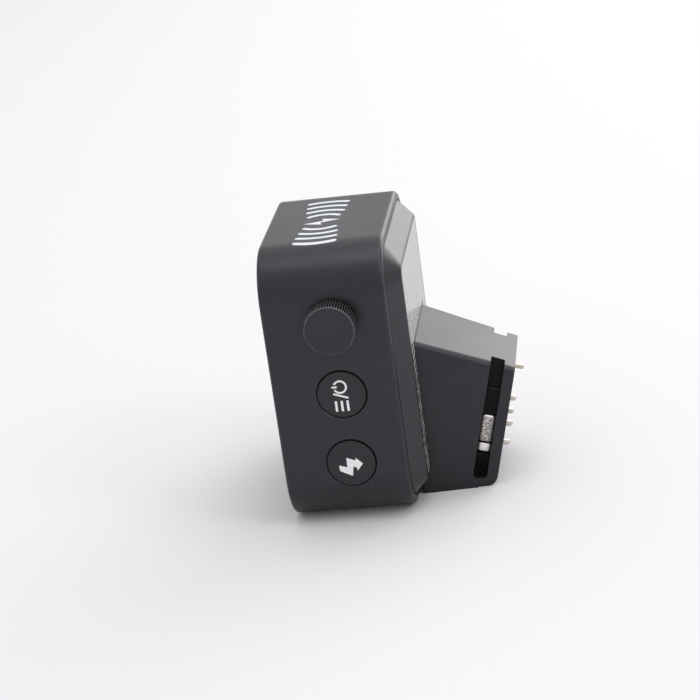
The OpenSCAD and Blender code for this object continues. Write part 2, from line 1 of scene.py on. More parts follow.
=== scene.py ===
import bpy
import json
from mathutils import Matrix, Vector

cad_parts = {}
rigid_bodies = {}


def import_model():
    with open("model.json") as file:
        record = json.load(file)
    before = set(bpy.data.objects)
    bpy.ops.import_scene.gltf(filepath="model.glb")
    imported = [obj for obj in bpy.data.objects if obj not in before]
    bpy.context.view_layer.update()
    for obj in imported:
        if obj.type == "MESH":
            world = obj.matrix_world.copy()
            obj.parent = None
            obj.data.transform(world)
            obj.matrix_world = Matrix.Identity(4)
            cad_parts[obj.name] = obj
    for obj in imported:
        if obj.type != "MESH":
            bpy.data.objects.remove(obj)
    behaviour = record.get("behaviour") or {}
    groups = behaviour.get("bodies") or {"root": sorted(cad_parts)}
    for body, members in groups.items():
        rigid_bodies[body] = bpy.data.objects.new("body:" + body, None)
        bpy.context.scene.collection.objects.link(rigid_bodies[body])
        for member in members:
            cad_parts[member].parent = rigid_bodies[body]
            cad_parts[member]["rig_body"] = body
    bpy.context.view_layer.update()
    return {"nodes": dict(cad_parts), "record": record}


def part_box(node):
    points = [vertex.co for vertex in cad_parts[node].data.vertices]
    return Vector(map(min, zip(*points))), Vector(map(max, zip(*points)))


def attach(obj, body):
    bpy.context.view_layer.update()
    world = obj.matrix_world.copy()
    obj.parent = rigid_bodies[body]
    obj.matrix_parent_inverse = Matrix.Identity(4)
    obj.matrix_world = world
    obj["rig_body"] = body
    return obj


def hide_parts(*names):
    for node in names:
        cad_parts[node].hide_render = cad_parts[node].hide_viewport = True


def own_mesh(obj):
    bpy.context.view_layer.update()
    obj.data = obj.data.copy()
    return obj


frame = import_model()

import json
import math

import bmesh
import bpy
from mathutils import Matrix, Vector
from mathutils.geometry import tessellate_polygon

nodes = frame["nodes"]

# ---------------------------------------------------------------- slab frame
# The slab frame has x = 0 at the screen side, y = 0 at the control face and
# z = 0 at the resting face, in millimetres.
OX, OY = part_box("main_housing")[0].x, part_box("main_housing")[0].y
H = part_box("main_housing")[1].z * 1000
W = (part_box("main_housing")[1].y - OY) * 1000
TILT = math.radians(14.6)
FOOT_X = 35.9
YC = W / 2
CT, ST = math.cos(TILT), math.sin(TILT)
CTRL_X, DIAL_Z, MODE_Z, TEST_Z = 12.15, 38.0, 24.8, 11.8
DIAL_H, DIAL_R = 4.05, 4.45
NECK, GROOVE_N, FOOT_T = 12.2, 4.45, 1.95


def S(x, y, z):
    """Slab frame in mm to the row frame in metres."""
    return Vector((x / 1000 + OX, y / 1000 + OY, z / 1000))


def F(n, y, s):
    """Foot frame in mm: n outwards from the plate, s from its rear edge to its front edge."""
    return S(FOOT_X + s * ST + n * CT, y, s * CT - n * ST)


# ---------------------------------------------------------------- materials
def new_mat(name):
    m = bpy.data.materials.new(name)
    m.use_nodes = True
    m.node_tree.nodes.clear()
    out = m.node_tree.nodes.new("ShaderNodeOutputMaterial")
    p = m.node_tree.nodes.new("ShaderNodeBsdfPrincipled")
    m.node_tree.links.new(p.outputs[0], out.inputs[0])
    return m, m.node_tree, p


def N(t, kind, **kw):
    n = t.nodes.new(kind)
    for k, v in kw.items():
        if k.startswith("i_"):
            key = k[2:]
            n.inputs[int(key) if key.isdigit() else key.replace("_", " ")].default_value = v
        else:
            setattr(n, k, v)
    return n


def L(t, a, b):
    t.links.new(a, b)


def math_node(t, op, a, b=None, c=None, clamp=False):
    n = t.nodes.new("ShaderNodeMath")
    n.operation = op
    n.use_clamp = clamp
    for i, v in enumerate((a, b, c)):
        if v is None:
            continue
        if isinstance(v, (int, float)):
            n.inputs[i].default_value = v
        else:
            t.links.new(v, n.inputs[i])
    return n.outputs[0]


def mix_rgb(t, fac, a, b, mode="MIX"):
    n = t.nodes.new("ShaderNodeMix")
    n.data_type = "RGBA"
    n.blend_type = mode
    for sock, v in ((n.inputs["Factor"], fac), (n.inputs[6], a), (n.inputs[7], b)):
        if isinstance(v, (int, float)):
            sock.default_value = v
        elif isinstance(v, (tuple, list)):
            sock.default_value = (*v, 1) if len(v) == 3 else v
        else:
            t.links.new(v, sock)
    return n.outputs[2]


def coords(t, scale=(1, 1, 1), rot=(0, 0, 0)):
    tc = t.nodes.new("ShaderNodeTexCoord")
    mp = t.nodes.new("ShaderNodeMapping")
    mp.inputs["Scale"].default_value = scale
    mp.inputs["Rotation"].default_value = rot
    L(t, tc.outputs["Object"], mp.inputs["Vector"])
    return mp.outputs["Vector"]


def noise(t, vec, scale, detail=3, rough=0.55):
    n = t.nodes.new("ShaderNodeTexNoise")
    n.inputs["Scale"].default_value = scale
    n.inputs["Detail"].default_value = detail
    n.inputs["Roughness"].default_value = rough
    L(t, vec, n.inputs["Vector"])
    return n.outputs["Fac"]


def ramp(t, fac, stops):
    r = t.nodes.new("ShaderNodeValToRGB")
    el = r.color_ramp.elements
    while len(el) < len(stops):
        el.new(0.5)
    for e, (pos, val) in zip(el, stops):
        e.position = pos
        e.color = (val, val, val, 1) if isinstance(val, (int, float)) else (*val, 1)
    L(t, fac, r.inputs["Fac"])
    return r.outputs["Color"]


def edge_mask(t, radius, lo=0.02, hi=0.2):
    """1 along convex and concave edges, from the difference between the plain and the rounded normal."""
    bev = N(t, "ShaderNodeBevel", samples=4)
    bev.inputs["Radius"].default_value = radius
    geo = t.nodes.new("ShaderNodeNewGeometry")
    dot = t.nodes.new("ShaderNodeVectorMath")
    dot.operation = "DOT_PRODUCT"
    L(t, bev.outputs[0], dot.inputs[0])
    L(t, geo.outputs["Normal"], dot.inputs[1])
    inv = math_node(t, "SUBTRACT", 1.0, dot.outputs["Value"])
    mr = N(t, "ShaderNodeMapRange")
    mr.inputs[1].default_value = lo
    mr.inputs[2].default_value = hi
    L(t, inv, mr.inputs[0])
    return mr.outputs[0]


def plastic(name, base, rough, grain=9000, bump=0.25, round_r=0.00012, wear=0.35, wear_r=0.00022, spec=0.5, rough_var=0.05, coat=0.0, lint=0.0):
    """Moulded plastic: spark-eroded grain, faint mottling, edges burnished by handling."""
    m, t, p = new_mat(name)
    v = coords(t)
    fine = noise(t, v, grain, 2, 0.6)
    mid = noise(t, v, 900, 3, 0.5)
    big = noise(t, v, 70, 2, 0.5)
    dark = tuple(c * 0.86 for c in base)
    light = tuple(min(1, c * 1.14) for c in base)
    col = mix_rgb(t, ramp(t, mid, [(0.35, 0.0), (0.65, 1.0)]), dark, light)
    edge = edge_mask(t, wear_r)
    worn = math_node(t, "MULTIPLY", edge, ramp(t, noise(t, v, 1500, 3), [(0.4, 0.0), (0.62, 1.0)]))
    worn = math_node(t, "MULTIPLY", worn, wear)
    col = mix_rgb(t, worn, col, tuple(min(1, c * 2.6 + 0.01) for c in base))
    if lint:
        vor = t.nodes.new("ShaderNodeTexVoronoi")
        vor.inputs["Scale"].default_value = 260
        L(t, v, vor.inputs["Vector"])
        dots = ramp(t, vor.outputs["Distance"], [(0.0, 1.0), (0.05, 0.0)])
        keep = ramp(t, vor.outputs["Color"], [(0.9, 0.0), (0.93, 1.0)])
        dust = math_node(t, "MULTIPLY", dots, keep)
        dust = math_node(t, "MULTIPLY", dust, lint)
        col = mix_rgb(t, dust, col, (0.5, 0.5, 0.52))
    L(t, col, p.inputs["Base Color"])
    r1 = math_node(t, "MULTIPLY", math_node(t, "SUBTRACT", big, 0.5), rough_var * 2.4)
    r2 = math_node(t, "MULTIPLY", math_node(t, "SUBTRACT", fine, 0.5), rough_var)
    r = math_node(t, "ADD", math_node(t, "ADD", r1, r2), rough)
    r = math_node(t, "SUBTRACT", r, math_node(t, "MULTIPLY", worn, 0.12))
    L(t, r, p.inputs["Roughness"])
    p.inputs["Specular IOR Level"].default_value = spec
    p.inputs["Specular Tint"].default_value = (0.94, 0.936, 1.0, 1)
    if coat:
        p.inputs["Coat Weight"].default_value = coat
        p.inputs["Coat Roughness"].default_value = 0.12
    bev = N(t, "ShaderNodeBevel", samples=4)
    bev.inputs["Radius"].default_value = round_r
    b = t.nodes.new("ShaderNodeBump")
    b.inputs["Strength"].default_value = bump
    b.inputs["Distance"].default_value = 0.00002
    L(t, fine, b.inputs["Height"])
    L(t, bev.outputs[0], b.inputs["Normal"])
    L(t, b.outputs[0], p.inputs["Normal"])
    return m


def metal(name, base, rough, stretch=(1, 1, 1), grain=4000, bump=0.15, round_r=0.00004, tarnish=0.15, aniso=0.0, metallic=1.0):
    """Plated or brushed metal: drawn lines, slight tarnish, bright edges."""
    m, t, p = new_mat(name)
    v = coords(t, stretch)
    line = noise(t, v, grain, 3, 0.6)
    big = noise(t, coords(t), 600, 3)
    col = mix_rgb(t, ramp(t, big, [(0.35, 0.0), (0.7, tarnish)]), base, tuple(c * 0.55 for c in base))
    col = mix_rgb(t, math_node(t, "MULTIPLY", edge_mask(t, 0.00008), 0.35), col, tuple(min(1, c * 1.25) for c in base))
    L(t, col, p.inputs["Base Color"])
    p.inputs["Metallic"].default_value = metallic
    r = math_node(t, "ADD", math_node(t, "MULTIPLY", math_node(t, "SUBTRACT", line, 0.5), 0.25), rough, clamp=True)
    L(t, r, p.inputs["Roughness"])
    if aniso:
        p.inputs["Anisotropic"].default_value = aniso
    bev = N(t, "ShaderNodeBevel", samples=4)
    bev.inputs["Radius"].default_value = round_r
    b = t.nodes.new("ShaderNodeBump")
    b.inputs["Strength"].default_value = bump
    b.inputs["Distance"].default_value = 0.00001
    L(t, line, b.inputs["Height"])
    L(t, bev.outputs[0], b.inputs["Normal"])
    L(t, b.outputs[0], p.inputs["Normal"])
    return m


def speckled(name, base, rough):
    """Nickel strip with a pebbled, tumbled surface."""
    m, t, p = new_mat(name)
    v = coords(t)
    peb = noise(t, v, 3000, 3, 0.75)
    col = mix_rgb(t, ramp(t, peb, [(0.42, 0.0), (0.58, 1.0)]), tuple(c * 0.3 for c in base), base)
    L(t, col, p.inputs["Base Color"])
    p.inputs["Metallic"].default_value = 1.0
    L(t, ramp(t, peb, [(0.3, rough + 0.2), (0.7, rough)]), p.inputs["Roughness"])
    b = t.nodes.new("ShaderNodeBump")
    b.inputs["Strength"].default_value = 0.8
    b.inputs["Distance"].default_value = 0.00006
    L(t, peb, b.inputs["Height"])
    L(t, b.outputs[0], p.inputs["Normal"])
    return m


def ink(name, base, rough=0.45):
    """Screen-printed ink with a slightly uneven coat."""
    m, t, p = new_mat(name)
    v = coords(t)
    col = mix_rgb(t, ramp(t, noise(t, v, 3500, 3), [(0.35, 0.0), (0.6, 1.0)]), tuple(c * 0.88 for c in base), base)
    L(t, col, p.inputs["Base Color"])
    p.inputs["Roughness"].default_value = rough
    b = t.nodes.new("ShaderNodeBump")
    b.inputs["Strength"].default_value = 0.2
    b.inputs["Distance"].default_value = 0.00001
    L(t, noise(t, v, 9000, 2), b.inputs["Height"])
    L(t, b.outputs[0], p.inputs["Normal"])
    return m


def board(name, base):
    """Solder mask with tracks and tinned pads."""
    m, t, p = new_mat(name)
    v = coords(t)
    br = t.nodes.new("ShaderNodeTexBrick")
    br.inputs["Scale"].default_value = 380
    br.inputs["Mortar Size"].default_value = 0.06
    br.inputs["Color1"].default_value = (*base, 1)
    br.inputs["Color2"].default_value = (*[c * 0.75 for c in base], 1)
    br.inputs["Mortar"].default_value = (*[min(1, c * 1.7 + 0.01) for c in base], 1)
    L(t, v, br.inputs["Vector"])
    vor = t.nodes.new("ShaderNodeTexVoronoi")
    vor.inputs["Scale"].default_value = 420
    L(t, v, vor.inputs["Vector"])
    pads = ramp(t, vor.outputs["Distance"], [(0.12, 1.0), (0.16, 0.0)])
    L(t, mix_rgb(t, pads, br.outputs["Color"], (0.62, 0.6, 0.56)), p.inputs["Base Color"])
    p.inputs["Roughness"].default_value = 0.35
    b = t.nodes.new("ShaderNodeBump")
    b.inputs["Strength"].default_value = 0.3
    b.inputs["Distance"].default_value = 0.00003
    L(t, pads, b.inputs["Height"])
    L(t, b.outputs[0], p.inputs["Normal"])
    return m


def film_label(name):
    """Dark satin film with rows of fine generic marks, no lettering."""
    m, t, p = new_mat(name)
    v = coords(t)
    sep = t.nodes.new("ShaderNodeSeparateXYZ")
    L(t, v, sep.inputs[0])
    y, z = sep.outputs["Y"], sep.outputs["Z"]
    # rows along Y, about 1.3 mm apart
    row = math_node(t, "MULTIPLY", z, 1 / 0.0013)
    inrow = math_node(t, "FRACT", row)
    band = math_node(t, "MULTIPLY", math_node(t, "GREATER_THAN", inrow, 0.28), math_node(t, "LESS_THAN", inrow, 0.78))
    rid = math_node(t, "FLOOR", row)
    wn = t.nodes.new("ShaderNodeTexNoise")
    wn.inputs["Scale"].default_value = 1.0
    wn.inputs["Detail"].default_value = 2
    comb = t.nodes.new("ShaderNodeCombineXYZ")
    L(t, math_node(t, "MULTIPLY", y, 1500.0), comb.inputs[0])
    L(t, math_node(t, "MULTIPLY", rid, 7.31), comb.inputs[1])
    L(t, comb.outputs[0], wn.inputs["Vector"])
    word = math_node(t, "GREATER_THAN", wn.outputs["Fac"], 0.5)
    mark = math_node(t, "MULTIPLY", band, word)
    mottle = noise(t, v, 500, 3)
    col = mix_rgb(t, mark, mix_rgb(t, mottle, LABEL_DARK, tuple(c * 1.25 for c in LABEL_DARK)), LABEL_PRINT)
    L(t, col, p.inputs["Base Color"])
    wave = noise(t, coords(t, (1, 1, 0.17)), 520, 3)
    r = math_node(t, "ADD", math_node(t, "MULTIPLY", mark, 0.2), LABEL_ROUGH)
    r = math_node(t, "ADD", r, math_node(t, "MULTIPLY", math_node(t, "SUBTRACT", wave, 0.5), 0.1))
    L(t, r, p.inputs["Roughness"])
    p.inputs["Specular IOR Level"].default_value = LABEL_SPEC
    b = t.nodes.new("ShaderNodeBump")
    b.inputs["Strength"].default_value = 0.16
    b.inputs["Distance"].default_value = 0.00001
    L(t, math_node(t, "ADD", math_node(t, "MULTIPLY", mark, 0.4), wave), b.inputs["Height"])
    L(t, b.outputs[0], p.inputs["Normal"])
    return m


def screen_glass(name):
    """Dark cover glass: black printed border, slightly lighter display area behind, faint smears."""
    m, t, p = new_mat(name)
    v = coords(t)
    sep = t.nodes.new("ShaderNodeSeparateXYZ")
    L(t, v, sep.inputs[0])
    cy, cz = S(0, YC, H / 2).y, S(0, YC, H / 2).z
    dy = math_node(t, "ABSOLUTE", math_node(t, "SUBTRACT", sep.outputs["Y"], cy))
    dz = math_node(t, "ABSOLUTE", math_node(t, "SUBTRACT", sep.outputs["Z"], cz - 0.0012))
    inside = math_node(t, "MULTIPLY", math_node(t, "LESS_THAN", dy, 0.0172), math_node(t, "LESS_THAN", dz, 0.0196))
    col = mix_rgb(t, inside, (0.004, 0.004, 0.005), (0.012, 0.013, 0.017))
    L(t, col, p.inputs["Base Color"])
    smear = noise(t, coords(t, (1, 1, 0.5)), 90, 4)
    L(t, ramp(t, smear, [(0.35, 0.04), (0.7, 0.12)]), p.inputs["Roughness"])
    p.inputs["Specular IOR Level"].default_value = 0.5
    p.inputs["Coat Weight"].default_value = 0.5
    p.inputs["Coat Roughness"].default_value = 0.03
    bev = N(t, "ShaderNodeBevel", samples=4)
    bev.inputs["Radius"].default_value = 0.00025
    L(t, bev.outputs[0], p.inputs["Normal"])
    return m


LABEL_DARK = (0.11, 0.11, 0.115)
LABEL_PRINT = (0.4, 0.4, 0.41)
LABEL_ROUGH = 0.13
LABEL_SPEC = 0.85

MATS = {
    "housing_plastic": plastic("housing_plastic_v", (0.0102, 0.0097, 0.0121), 0.36, lint=0.7),
    "cover_plastic": plastic("cover_plastic_v", (0.0100, 0.0096, 0.0117), 0.34),
    "shoe_plastic": plastic("shoe_plastic_v", (0.0104, 0.01, 0.0124), 0.34, bump=0.18, spec=0.46),
    "knob_plastic": plastic("knob_plastic_v", (0.0098, 0.0094, 0.0118), 0.34, wear=0.5, round_r=0.00005),
    "button_plastic": plastic("button_plastic_v", (0.0084, 0.0081, 0.0098), 0.36, bump=0.2),
    "black_plastic": plastic("black_plastic_v", (0.006, 0.006, 0.0065), 0.45, wear=0.1),
    # Painted shade and light: near-black painted shade, used in the neck's groove, the dial's rib valleys and the
    # earth strip's dip; a lighter painted-light grey and a pale painted highlight line for the neck's groove walls
    "painted_shade_black": plastic("painted_shade_black_v", (0.003, 0.003, 0.0035), 0.5, wear=0.1, spec=0.25),
    "painted_light_grey": plastic("painted_light_grey_v", (0.014, 0.014, 0.016), 0.42, wear=0.1, spec=0.42),
    "painted_highlight_ledge": plastic("painted_highlight_ledge_v", (0.15, 0.15, 0.154), 0.3, wear=0.1),
    # Painted highlight: a light grey for the dial's rim chamfer and rib crests, with edge wear on top
    "painted_highlight_rim": plastic("painted_highlight_rim_v", (0.11, 0.11, 0.117), 0.26, wear=0.6, round_r=0.00004),
    "touch_glass": screen_glass("touch_glass_v"),
    "adhesive": plastic("adhesive_v", (0.01, 0.01, 0.01), 0.8, bump=0.5, wear=0.0),
    "lcd": plastic("lcd_v", (0.02, 0.024, 0.035), 0.2, bump=0.05, wear=0.0),
    "frame_alloy": metal("frame_alloy_v", (0.6, 0.6, 0.62), 0.45, grain=2500, bump=0.5),
    "board": board("board_v", (0.012, 0.09, 0.05)),
    "flex": plastic("flex_v", (0.36, 0.17, 0.03), 0.3, bump=0.1, wear=0.0),
    "cell": metal("cell_v", (0.62, 0.63, 0.65), 0.35, grain=1200, bump=0.6),
    "shield": metal("shield_v", (0.65, 0.65, 0.66), 0.3, stretch=(1, 0.1, 1)),
    "antenna": metal("antenna_v", (0.75, 0.52, 0.22), 0.3, stretch=(1, 0.1, 1)),
    "label": film_label("label_v"),
    "screw_steel": metal("screw_steel_v", (0.16, 0.16, 0.17), 0.35, stretch=(1, 0.3, 1)),
    "spring_steel": metal("spring_steel_v", (0.6, 0.6, 0.6), 0.25),
    "contact_gold": metal("contact_gold_v", (0.6, 0.56, 0.51), 0.18, grain=5000, tarnish=0.3),
    "lock_brass": metal("lock_brass_v", (0.62, 0.57, 0.48), 0.24, stretch=(1, 1, 1), tarnish=0.25),
    "nickel": metal("nickel_v", (0.97, 0.92, 0.9), 0.34, stretch=(1, 1, 0.2), tarnish=0.12),
    "nickel_speckled": speckled("nickel_speckled_v", (0.86, 0.83, 0.78), 0.34),
    "switch_metal": metal("switch_metal_v", (0.55, 0.55, 0.56), 0.4),
    "socket_steel": metal("socket_steel_v", (0.6, 0.6, 0.61), 0.28, stretch=(1, 0.15, 1)),
    "white_ink": ink("white_ink_v", (0.86, 0.87, 0.88)),
    "cool_ink": ink("cool_ink_v", (0.66, 0.7, 0.76), 0.5),
}
SLOT_OF = {s["node"]: s["material_slot"] for s in frame["record"]["subparts"]}


# ---------------------------------------------------------------- mesh helpers
def link(name, bm, mats, body, smooth=35, weighted=False):
    me = bpy.data.meshes.new(name)
    bmesh.ops.recalc_face_normals(bm, faces=bm.faces)
    bm.to_mesh(me)
    bm.free()
    o = bpy.data.objects.new(name, me)
    bpy.context.scene.collection.objects.link(o)
    for mt in mats if isinstance(mats, (list, tuple)) else [mats]:
        me.materials.append(mt)
    if smooth:
        me.polygons.foreach_set("use_smooth", [True] * len(me.polygons))
        me.set_sharp_from_angle(angle=math.radians(smooth))
    if weighted:
        w = o.modifiers.new("weighted", "WEIGHTED_NORMAL")
        w.keep_sharp = True
        w.weight = 80
    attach(o, body)
    return o


def cad_bm(node, dissolve=True):
    """A clean copy of a CAD node's mesh: welded, with flat areas joined up again."""
    src = nodes[node].data
    bm = bmesh.new()
    bm.from_mesh(src)
    for lay in list(bm.loops.layers.float_vector):
        bm.loops.layers.float_vector.remove(lay)
    bmesh.ops.remove_doubles(bm, verts=bm.verts, dist=2e-7)
    clean = bmesh.new()
    vs = [clean.verts.new(v.co) for v in bm.verts]
    bm.verts.index_update()
    for f in bm.faces:
        try:
            clean.faces.new([vs[v.index] for v in f.verts])
        except ValueError:
            pass
    bm.free()
    bmesh.ops.recalc_face_normals(clean, faces=clean.faces)
    if dissolve:
        bmesh.ops.dissolve_limit(clean, angle_limit=math.radians(0.4), verts=clean.verts, edges=clean.edges, delimit={"NORMAL"})
    return clean


def reskin(node, name, extra=(), change=None, smooth=35):
    bm = cad_bm(node)
    if change:
        change(bm)
    o = link(name, bm, [MATS[SLOT_OF[node]], *extra], nodes[node]["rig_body"], smooth, weighted=True)
    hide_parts(node)
    return o


def poly_prism(bm, pts, to3, t0, t1):
    """Flat polygon pts (2D) made solid between heights t0 and t1, with to3(u, v, t) giving the place."""
    a = [bm.verts.new(to3(u, v, t0)) for u, v in pts]
    b = [bm.verts.new(to3(u, v, t1)) for u, v in pts]
    n = len(pts)
    for i, j, k in tessellate_polygon([[Vector((u, v, 0)) for u, v in pts]]):
        bm.faces.new([a[i], a[j], a[k]])
        bm.faces.new([b[k], b[j], b[i]])
    for i in range(n):
        bm.faces.new([a[i], a[(i + 1) % n], b[(i + 1) % n], b[i]])


def arc_band(r0, r1, a0, a1, n=24, round_ends=True):
    """Closed outline of a ring segment between radii r0 < r1, with round ends."""
    rm, h = (r0 + r1) / 2, (r1 - r0) / 2
    out = [(r1 * math.cos(a0 + (a1 - a0) * i / n), r1 * math.sin(a0 + (a1 - a0) * i / n)) for i in range(n + 1)]
    if round_ends:
        c = (rm * math.cos(a1), rm * math.sin(a1))
        for i in range(1, 8):
            g = a1 + math.pi * i / 8
            out.append((c[0] + h * math.cos(g), c[1] + h * math.sin(g)))
    out += [(r0 * math.cos(a1 - (a1 - a0) * i / n), r0 * math.sin(a1 - (a1 - a0) * i / n)) for i in range(n + 1)]
    if round_ends:
        c = (rm * math.cos(a0), rm * math.sin(a0))
        for i in range(1, 8):
            g = a0 + math.pi + math.pi * i / 8
            out.append((c[0] + h * math.cos(g), c[1] + h * math.sin(g)))
    return out


def bar(p, q, w, n=6):
    """Closed outline of a straight stroke from p to q, of width w, with slightly rounded corners."""
    d = Vector(q) - Vector(p)
    u = d.normalized()
    s = Vector((-u.y, u.x))
    r = w * 0.18
    pts = []
    for cx, cy, a0 in ((1, 1, 0), (-1, 1, 90), (-1, -1, 180), (1, -1, 270)):
        base = (Vector(q) - u * r if cx > 0 else Vector(p) + u * r) + s * (cy * (w / 2 - r))
        for i in range(n + 1):
            g = math.radians(a0 + 90 * i / n)
            pts.append(tuple(base + u * (r * math.cos(g)) + s * (r * math.sin(g))))
    return pts


# ---------------------------------------------------------------- main shells
PRINT = 0.012  # thickness of the white print, in mm
TOP_R = 9.0  # radius of the housing's corners, in mm


def lower_top(bm):
    for v in bm.verts:
        if v.co.z > (H - 0.0005) / 1000:
            v.co.z -= PRINT / 1000


reskin("main_housing", "housing_shell", change=lower_top)
reskin("back_cover", "cover_shell")


def foot_place(p):
    """A row-frame point as n, y from the middle, s in the foot frame, in mm."""
    x, y, z = (p.x - OX) * 1000 - FOOT_X, (p.y - OY) * 1000 - YC, p.z * 1000
    return x * CT - z * ST, y, x * ST + z * CT


def paint_neck_shade(bm):
    """Painted shade and light on the walls of the neck between the grooves: near-black painted shade deep in the
    groove, a lighter painted-light grey on the upper part, and a painted highlight line at s = 17.2.
    """
    for f in bm.faces:
        n, y, s = foot_place(f.calc_center_median())
        if -GROOVE_N - 0.02 < n < -FOOT_T + 0.02 and 5.4 < abs(y) < 6.3:
            f.material_index = 3 if abs(s - 17.2) < 0.02 else 2 if s > 18.8 else 1


reskin("shoe_block", "shoe_block_shell", extra=[MATS["painted_shade_black"], MATS["painted_light_grey"], MATS["painted_highlight_ledge"]], change=paint_neck_shade)


def flush_label(bm):
    """The film fills its pocket and lies level with the flat of the cover."""
    top = max(v.co.x for v in bm.verts)
    y0, y1 = min(v.co.y for v in bm.verts), max(v.co.y for v in bm.verts)
    z0, z1 = min(v.co.z for v in bm.verts), max(v.co.z for v in bm.verts)
    for v in bm.verts:
        if v.co.x > top - 0.00002:
            v.co.x = top + 0.000045
        v.co.y += 0.00004 if v.co.y > y1 - 0.003 else -0.00004 if v.co.y < y0 + 0.003 else 0
        v.co.z += 0.00004 if v.co.z > z1 - 0.003 else -0.00004 if v.co.z < z0 + 0.003 else 0


reskin("label_plate", "label_film", change=flush_label)
reskin("touch_glass", "touch_glass_pane")


CAP_OUT = 0.18  # how far the worn-in caps stand forward of the drawn ones, in mm


def settle_cap(bm):
    """The cap is a loose fit: it rests towards the lower left of its hole."""
    mx = (min(v.co.x for v in bm.verts) + max(v.co.x for v in bm.verts)) / 2
    mz = (min(v.co.z for v in bm.verts) + max(v.co.z for v in bm.verts)) / 2
    front = min(v.co.y for v in bm.verts)
    for v in bm.verts:
        dx, dz = v.co.x - mx, v.co.z - mz
        r = math.hypot(dx, dz)
        if r > 0.0036 and v.co.y < front + 0.0022:
            v.co.x += dx / r * -0.00003 - 0.00007
            v.co.z += dz / r * -0.00003 - 0.0001
        if v.co.y < front + 0.00061:
            v.co.y = front - CAP_OUT / 1000 + (v.co.y - front) * 0.3


for b in ("mode_button", "test_button"):
    reskin(b, b + "_cap", change=settle_cap)
for c in ("centre_contact", "contact_a_near", "contact_a_far", "contact_b_near", "contact_b_far", "lock_pin"):
    reskin(c, c + "_pin")
reskin("pin_carrier", "pin_carrier_moulding")

# the coil springs behind the pins get clean copies of their own meshes; the push joint and travel listed with each are
# not used here
for spring, joint, travel in (
    ("centre_spring", "centre_contact_push", 0.0011),
    ("spring_a_near", "contact_a_near_push", 0.0011),
    ("spring_a_far", "contact_a_far_push", 0.0011),
    ("spring_b_near", "contact_b_near_push", 0.0011),
    ("spring_b_far", "contact_b_far_push", 0.0011),
    ("lock_pin_spring", "lock_pin_push", 0.0018),
):
    coil = reskin(spring, spring + "_coil", smooth=60)
    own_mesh(coil)

reskin("usb_c_socket", "usb_c_shell")
reskin("usb_c_tongue", "usb_c_tongue_moulding")
reskin("sync_jack", "sync_jack_moulding")


# ---------------------------------------------------------------- dial
def make_dial():
    bm = bmesh.new()
    ribs, per = 60, 10
    n = ribs * per

    def rib(i):
        """Rounded ribs with deep valleys between them."""
        f = (i % per) / per
        return DIAL_R - 0.3 * (1 - (0.5 + 0.5 * math.cos(2 * math.pi * f)) ** 0.9)

    f0 = -DIAL_H
    rows = [
        (lambda i: 1.02, -3.3),
        (lambda i: 1.02, 1.9),
        (lambda i: 2.0, 1.9),
        (lambda i: 2.1, 1.8),
        (lambda i: 2.1, -2.7),
        (lambda i: 3.6, -2.7),
        (lambda i: 3.6, -0.4),
        (lambda i: rib(i) - 0.12, -0.4),
        (lambda i: rib(i), -0.52),
        (lambda i: rib(i), f0 + 0.26),
        (lambda i: 4.4 + 0.6 * (rib(i) - DIAL_R), f0 + 0.18),
        (lambda i: 4.36 + 0.25 * (rib(i) - DIAL_R), f0 + 0.13),
        (lambda i: 4.23, f0 + 0.01),
        (lambda i: 4.16, f0),
        (lambda i: 4.06, f0 + 0.004),
        (lambda i: 3.98, f0 + 0.018),
    ]
    rings = []
    for rf, y in rows:
        ring = []
        for i in range(n):
            a = 2 * math.pi * i / n
            r = rf(i)
            ring.append(bm.verts.new(S(CTRL_X + r * math.cos(a), y, DIAL_Z + r * math.sin(a))))
        rings.append(ring)
    for a, b in zip(rings, rings[1:]):
        for i in range(n):
            j = (i + 1) % n
            f = bm.faces.new([a[i], a[j], b[j], b[i]])
            k = rings.index(a)
            # Painted shade in the rib valleys (near-black) and painted highlight on the rim chamfer rows and the rib
            # crests (light rim material)
            if k in (8, 9, 10) and 3 <= i % per <= 6:
                f.material_index = 1
            elif k in (10, 11) or k in (8, 9) and i % per in (0, 9):
                f.material_index = 2
    # closed centre of the face and of the bore
    mid = bm.verts.new(S(CTRL_X, f0 + 0.03, DIAL_Z))
    top = bm.verts.new(S(CTRL_X, -3.3, DIAL_Z))
    for i in range(n):
        j = (i + 1) % n
        bm.faces.new([rings[-1][i], rings[-1][j], mid])
        bm.faces.new([rings[0][j], rings[0][i], top])
    o = link("dial_knurled", bm, [MATS["knob_plastic"], MATS["painted_shade_black"], MATS["painted_highlight_rim"]], "dial", smooth=40)
    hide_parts("dial_knob")
    return o


make_dial()


# ---------------------------------------------------------------- printed symbols
def face_print(name, polys, body, mat):
    """Print on a button cap: polygons in X-Z, just in front of the cap's face."""
    bm = bmesh.new()
    for pts in polys:
        poly_prism(bm, pts, lambda u, v, t: S(u + 0.027, t, v + 0.06), CAP_Y - PRINT, CAP_Y + 0.002)
    return link(name, bm, mat, body, smooth=0)


def shifted(pts, cx, cz):
    return [(cx + u, cz + v) for u, v in pts]


